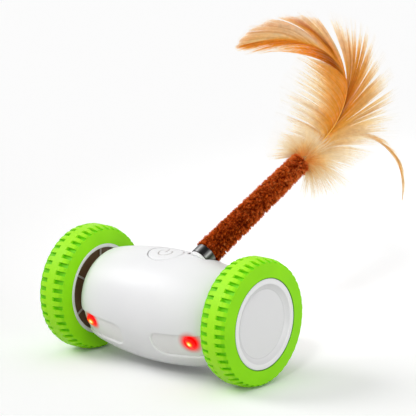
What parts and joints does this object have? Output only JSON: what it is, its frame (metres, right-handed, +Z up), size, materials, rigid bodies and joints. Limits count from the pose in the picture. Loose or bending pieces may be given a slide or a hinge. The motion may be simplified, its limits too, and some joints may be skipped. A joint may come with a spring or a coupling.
{
  "type": "automatic rolling cat toy",
  "caption": "Self-driving barrel-shaped cat toy that rolls on two rubber-tyred wheels, with lit eyes, a push button on top and a plush tail ending in feathers.",
  "frame": {"origin": "on the floor, straight under the middle of the wheel axle", "axes": "+X along the wheel axle to the toy's own left, -Y to the front with the two eyes, +Z up"},
  "size_m": [0.1234, 0.1651, 0.1658],
  "materials": {
    "white_shell": "smooth white ABS, satin gloss",
    "window": "smoky translucent plastic, smooth",
    "red_lens": "clear red lamp lens, lit",
    "screw_steel": "plain zinc-plated steel",
    "board_green": "green solder mask on glass-epoxy board",
    "dark_plastic": "dark brown moulded plastic, matt",
    "socket_metal": "stamped plated steel",
    "cell_can": "cell can in shrink film",
    "motor_can": "drawn steel can",
    "shaft_steel": "ground steel",
    "gear_plastic": "natural acetal",
    "brass_parts": "turned brass",
    "tyre_green": "soft lime-green rubber, matt",
    "wheel_white": "smooth white ABS",
    "bright_band": "bright plated band",
    "plush": "rust-brown pile, rubbed and crushed",
    "binding": "wound thread with glue",
    "feather": "fluffy cream to orange-brown feather"
  },
  "bodies": {
    "housing": {"main_shell": "white_shell", "rear_shell": "white_shell", "shell_screws": "screw_steel", "board_screws": "screw_steel", "left_window_pad": "window", "right_window_pad": "window", "left_eye": "red_lens", "right_eye": "red_lens", "circuit_board": "board_green", "tact_switch": "dark_plastic", "charging_socket": "socket_metal", "battery_cell": "cell_can", "tail_socket": "white_shell", "left_motor": "motor_can", "left_gear_plate": "gear_plastic", "left_gear_cover": "gear_plastic", "left_gear_screws": "screw_steel", "left_gear_pin": "shaft_steel", "left_inner_bush": "brass_parts", "left_outer_bush": "brass_parts", "right_motor": "motor_can", "right_gear_plate": "gear_plastic", "right_gear_cover": "gear_plastic", "right_gear_screws": "screw_steel", "right_gear_pin": "shaft_steel", "right_inner_bush": "brass_parts", "right_outer_bush": "brass_parts"},
    "left_wheel": {"left_tyre": "tyre_green", "left_rim": "wheel_white", "left_wheel_web": "dark_plastic", "left_hub_cap": "wheel_white", "left_wheel_screw": "screw_steel", "left_wheel_shaft": "shaft_steel", "left_output_gear": "gear_plastic"},
    "left_reduction_gear": {"left_reduction_gear": "gear_plastic"},
    "left_motor_rotor": {"left_motor_shaft": "shaft_steel", "left_motor_pinion": "brass_parts"},
    "right_wheel": {"right_tyre": "tyre_green", "right_rim": "wheel_white", "right_wheel_web": "dark_plastic", "right_hub_cap": "wheel_white", "right_wheel_screw": "screw_steel", "right_wheel_shaft": "shaft_steel", "right_output_gear": "gear_plastic"},
    "right_reduction_gear": {"right_reduction_gear": "gear_plastic"},
    "right_motor_rotor": {"right_motor_shaft": "shaft_steel", "right_motor_pinion": "brass_parts"},
    "power_button": {"power_button": "white_shell", "switch_plunger": "dark_plastic"},
    "tail": {"tail_plug": "dark_plastic", "tail_ferrule": "bright_band", "tail_stick": "shaft_steel", "plush_sleeve": "plush", "feather_binding": "binding", "plume_feather": "feather", "curled_feather": "feather"}
  },
  "joints": [
    {"name": "left_wheel_spin", "type": "hinge", "parent": "housing", "child": "left_wheel", "pos_m": [0, 0, 0.032], "axis": [1, 0, 0], "continuous": true},
    {"name": "right_wheel_spin", "type": "hinge", "parent": "housing", "child": "right_wheel", "pos_m": [0, 0, 0.032], "axis": [1, 0, 0], "continuous": true},
    {"name": "left_reduction_spin", "type": "hinge", "parent": "housing", "child": "left_reduction_gear", "pos_m": [0, 0.00702, 0.02353], "axis": [1, 0, 0], "continuous": true},
    {"name": "left_rotor_spin", "type": "hinge", "parent": "housing", "child": "left_motor_rotor", "pos_m": [0, 0.004, 0.014], "axis": [1, 0, 0], "continuous": true},
    {"name": "right_reduction_spin", "type": "hinge", "parent": "housing", "child": "right_reduction_gear", "pos_m": [0, 0.00702, 0.02353], "axis": [1, 0, 0], "continuous": true},
    {"name": "right_rotor_spin", "type": "hinge", "parent": "housing", "child": "right_motor_rotor", "pos_m": [0, 0.004, 0.014], "axis": [1, 0, 0], "continuous": true},
    {"name": "power_button_press", "type": "slide", "parent": "housing", "child": "power_button", "axis": [0, 0, -1], "range_m": [0, 0.0008], "stiffness_N_per_m": 1200},
    {"name": "tail_pull", "type": "slide", "parent": "housing", "child": "tail", "axis": [0.1488, 0.8441, 0.515], "range_m": [0, 0.012]}
  ],
  "couplings": [
    {"joint": "left_reduction_spin", "follows": "left_wheel_spin", "ratio": -3.4},
    {"joint": "left_rotor_spin", "follows": "left_wheel_spin", "ratio": 13.6},
    {"joint": "right_reduction_spin", "follows": "right_wheel_spin", "ratio": -3.4},
    {"joint": "right_rotor_spin", "follows": "right_wheel_spin", "ratio": 13.6}
  ]
}
